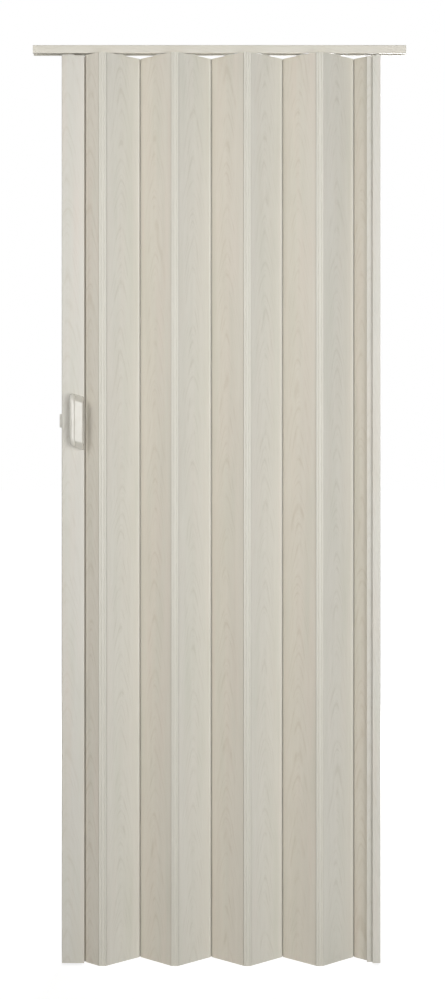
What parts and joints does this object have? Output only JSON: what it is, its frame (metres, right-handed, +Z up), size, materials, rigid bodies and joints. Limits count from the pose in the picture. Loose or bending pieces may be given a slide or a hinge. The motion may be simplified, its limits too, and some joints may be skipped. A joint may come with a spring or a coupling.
{
  "type": "folding door",
  "caption": "Accordion folding door of hollow pale wood-grain PVC panels on snap-in hinge strips, hung by gliders from a C-section top rail, with bow handles and a spring latch.",
  "frame": {"origin": "at floor level, below the middle of the top rail's length and width", "axes": "+Z up along the door's height, +X along the rail from the closing stile to the jamb, -Y towards the front"},
  "size_m": [0.83, 0.088, 2.04],
  "materials": {
    "panel_pvc": "embossed pale ash wood-grain film",
    "strip_pvc": "smooth satin extruded PVC",
    "post_pvc": "embossed pale ash wood-grain film",
    "rail_pvc": "satin extruded PVC",
    "handle_plastic": "semi-gloss moulded plastic",
    "latch_plastic": "satin moulded acetal",
    "nylon": "natural moulded nylon",
    "zinc_steel": "zinc-plated steel"
  },
  "bodies": {
    "rail_and_jamb": {"rail": "rail_pvc", "jamb_post": "post_pvc", "jamb_channel": "post_pvc", "jamb_hanger": "nylon"},
    "half_panel_jamb": {"half_panel_jamb": "panel_pvc"},
    "hinge_strip_8": {"hinge_strip_8": "strip_pvc"},
    "panel_8": {"panel_8": "panel_pvc", "glider_plug_8": "nylon"},
    "glider_8": {"glider_8": "nylon"},
    "hinge_strip_7": {"hinge_strip_7": "strip_pvc"},
    "panel_7": {"panel_7": "panel_pvc", "glider_plug_7": "nylon"},
    "glider_7": {"glider_7": "nylon"},
    "hinge_strip_6": {"hinge_strip_6": "strip_pvc"},
    "panel_6": {"panel_6": "panel_pvc", "glider_plug_6": "nylon"},
    "glider_6": {"glider_6": "nylon"},
    "hinge_strip_5": {"hinge_strip_5": "strip_pvc"},
    "panel_5": {"panel_5": "panel_pvc", "glider_plug_5": "nylon"},
    "glider_5": {"glider_5": "nylon"},
    "hinge_strip_4": {"hinge_strip_4": "strip_pvc"},
    "panel_4": {"panel_4": "panel_pvc", "glider_plug_4": "nylon"},
    "glider_4": {"glider_4": "nylon"},
    "hinge_strip_3": {"hinge_strip_3": "strip_pvc"},
    "panel_3": {"panel_3": "panel_pvc", "glider_plug_3": "nylon"},
    "glider_3": {"glider_3": "nylon"},
    "hinge_strip_2": {"hinge_strip_2": "strip_pvc"},
    "panel_2": {"panel_2": "panel_pvc", "glider_plug_2": "nylon"},
    "glider_2": {"glider_2": "nylon"},
    "hinge_strip_1": {"hinge_strip_1": "strip_pvc"},
    "half_panel_lead": {"half_panel_lead": "panel_pvc"},
    "closing_stile": {"stile_post": "post_pvc", "stile_hanger": "nylon", "handle_front": "handle_plastic", "handle_rear": "handle_plastic", "handle_screw_upper": "zinc_steel", "handle_screw_lower": "zinc_steel", "latch_case": "latch_plastic", "latch_spring": "zinc_steel", "latch_screw_upper": "zinc_steel", "latch_screw_lower": "zinc_steel"},
    "latch_bolt": {"latch_bolt": "latch_plastic"}
  },
  "joints": [
    {"name": "fold", "type": "hinge", "parent": "rail_and_jamb", "child": "half_panel_jamb", "pos_m": [0.3416, 0, 0], "axis": [0, 0, -1], "range_deg": [-8.45, 39.55]},
    {"name": "hinge_strip_8_turn", "type": "hinge", "parent": "half_panel_jamb", "child": "hinge_strip_8", "pos_m": [0.3066, 0.02984, 0], "axis": [0, 0, 1], "range_deg": [-8.45, 39.55]},
    {"name": "panel_8_turn", "type": "hinge", "parent": "hinge_strip_8", "child": "panel_8", "pos_m": [0.2966, 0.02984, 0], "axis": [0, 0, 1], "range_deg": [-8.45, 39.55]},
    {"name": "glider_8_turn", "type": "hinge", "parent": "panel_8", "child": "glider_8", "pos_m": [0.26159, 0, 0], "axis": [0, 0, -1], "range_deg": [-8.45, 39.55]},
    {"name": "hinge_strip_7_turn", "type": "hinge", "parent": "panel_8", "child": "hinge_strip_7", "pos_m": [0.22659, -0.02984, 0], "axis": [0, 0, -1], "range_deg": [-8.45, 39.55]},
    {"name": "panel_7_turn", "type": "hinge", "parent": "hinge_strip_7", "child": "panel_7", "pos_m": [0.21659, -0.02984, 0], "axis": [0, 0, -1], "range_deg": [-8.45, 39.55]},
    {"name": "glider_7_turn", "type": "hinge", "parent": "panel_7", "child": "glider_7", "pos_m": [0.18158, 0, 0], "axis": [0, 0, 1], "range_deg": [-8.45, 39.55]},
    {"name": "hinge_strip_6_turn", "type": "hinge", "parent": "panel_7", "child": "hinge_strip_6", "pos_m": [0.14658, 0.02984, 0], "axis": [0, 0, 1], "range_deg": [-8.45, 39.55]},
    {"name": "panel_6_turn", "type": "hinge", "parent": "hinge_strip_6", "child": "panel_6", "pos_m": [0.13658, 0.02984, 0], "axis": [0, 0, 1], "range_deg": [-8.45, 39.55]},
    {"name": "glider_6_turn", "type": "hinge", "parent": "panel_6", "child": "glider_6", "pos_m": [0.10157, 0, 0], "axis": [0, 0, -1], "range_deg": [-8.45, 39.55]},
    {"name": "hinge_strip_5_turn", "type": "hinge", "parent": "panel_6", "child": "hinge_strip_5", "pos_m": [0.06657, -0.02984, 0], "axis": [0, 0, -1], "range_deg": [-8.45, 39.55]},
    {"name": "panel_5_turn", "type": "hinge", "parent": "hinge_strip_5", "child": "panel_5", "pos_m": [0.05657, -0.02984, 0], "axis": [0, 0, -1], "range_deg": [-8.45, 39.55]},
    {"name": "glider_5_turn", "type": "hinge", "parent": "panel_5", "child": "glider_5", "pos_m": [0.02156, 0, 0], "axis": [0, 0, 1], "range_deg": [-8.45, 39.55]},
    {"name": "hinge_strip_4_turn", "type": "hinge", "parent": "panel_5", "child": "hinge_strip_4", "pos_m": [-0.01344, 0.02984, 0], "axis": [0, 0, 1], "range_deg": [-8.45, 39.55]},
    {"name": "panel_4_turn", "type": "hinge", "parent": "hinge_strip_4", "child": "panel_4", "pos_m": [-0.02344, 0.02984, 0], "axis": [0, 0, 1], "range_deg": [-8.45, 39.55]},
    {"name": "glider_4_turn", "type": "hinge", "parent": "panel_4", "child": "glider_4", "pos_m": [-0.05845, 0, 0], "axis": [0, 0, -1], "range_deg": [-8.45, 39.55]},
    {"name": "hinge_strip_3_turn", "type": "hinge", "parent": "panel_4", "child": "hinge_strip_3", "pos_m": [-0.09345, -0.02984, 0], "axis": [0, 0, -1], "range_deg": [-8.45, 39.55]},
    {"name": "panel_3_turn", "type": "hinge", "parent": "hinge_strip_3", "child": "panel_3", "pos_m": [-0.10345, -0.02984, 0], "axis": [0, 0, -1], "range_deg": [-8.45, 39.55]},
    {"name": "glider_3_turn", "type": "hinge", "parent": "panel_3", "child": "glider_3", "pos_m": [-0.13846, 0, 0], "axis": [0, 0, 1], "range_deg": [-8.45, 39.55]},
    {"name": "hinge_strip_2_turn", "type": "hinge", "parent": "panel_3", "child": "hinge_strip_2", "pos_m": [-0.17346, 0.02984, 0], "axis": [0, 0, 1], "range_deg": [-8.45, 39.55]},
    {"name": "panel_2_turn", "type": "hinge", "parent": "hinge_strip_2", "child": "panel_2", "pos_m": [-0.18346, 0.02984, 0], "axis": [0, 0, 1], "range_deg": [-8.45, 39.55]},
    {"name": "glider_2_turn", "type": "hinge", "parent": "panel_2", "child": "glider_2", "pos_m": [-0.21847, 0, 0], "axis": [0, 0, -1], "range_deg": [-8.45, 39.55]},
    {"name": "hinge_strip_1_turn", "type": "hinge", "parent": "panel_2", "child": "hinge_strip_1", "pos_m": [-0.25347, -0.02984, 0], "axis": [0, 0, -1], "range_deg": [-8.45, 39.55]},
    {"name": "half_panel_lead_turn", "type": "hinge", "parent": "hinge_strip_1", "child": "half_panel_lead", "pos_m": [-0.26347, -0.02984, 0], "axis": [0, 0, -1], "range_deg": [-8.45, 39.55]},
    {"name": "stile_turn", "type": "hinge", "parent": "half_panel_lead", "child": "closing_stile", "pos_m": [-0.29848, 0, 0], "axis": [0, 0, 1], "range_deg": [-8.45, 39.55]},
    {"name": "latch_slide", "type": "slide", "parent": "closing_stile", "child": "latch_bolt", "axis": [1, 0, 0], "range_m": [0, 0.005], "stiffness_N_per_m": 300, "springref_m": -0.004, "deforming": ["latch_spring"]}
  ],
  "couplings": [
    {"joint": "hinge_strip_8_turn", "follows": "fold", "ratio": 1},
    {"joint": "panel_8_turn", "follows": "fold", "ratio": 1},
    {"joint": "glider_8_turn", "follows": "fold", "ratio": 1},
    {"joint": "hinge_strip_7_turn", "follows": "fold", "ratio": 1},
    {"joint": "panel_7_turn", "follows": "fold", "ratio": 1},
    {"joint": "glider_7_turn", "follows": "fold", "ratio": 1},
    {"joint": "hinge_strip_6_turn", "follows": "fold", "ratio": 1},
    {"joint": "panel_6_turn", "follows": "fold", "ratio": 1},
    {"joint": "glider_6_turn", "follows": "fold", "ratio": 1},
    {"joint": "hinge_strip_5_turn", "follows": "fold", "ratio": 1},
    {"joint": "panel_5_turn", "follows": "fold", "ratio": 1},
    {"joint": "glider_5_turn", "follows": "fold", "ratio": 1},
    {"joint": "hinge_strip_4_turn", "follows": "fold", "ratio": 1},
    {"joint": "panel_4_turn", "follows": "fold", "ratio": 1},
    {"joint": "glider_4_turn", "follows": "fold", "ratio": 1},
    {"joint": "hinge_strip_3_turn", "follows": "fold", "ratio": 1},
    {"joint": "panel_3_turn", "follows": "fold", "ratio": 1},
    {"joint": "glider_3_turn", "follows": "fold", "ratio": 1},
    {"joint": "hinge_strip_2_turn", "follows": "fold", "ratio": 1},
    {"joint": "panel_2_turn", "follows": "fold", "ratio": 1},
    {"joint": "glider_2_turn", "follows": "fold", "ratio": 1},
    {"joint": "hinge_strip_1_turn", "follows": "fold", "ratio": 1},
    {"joint": "half_panel_lead_turn", "follows": "fold", "ratio": 1},
    {"joint": "stile_turn", "follows": "fold", "ratio": 1}
  ]
}
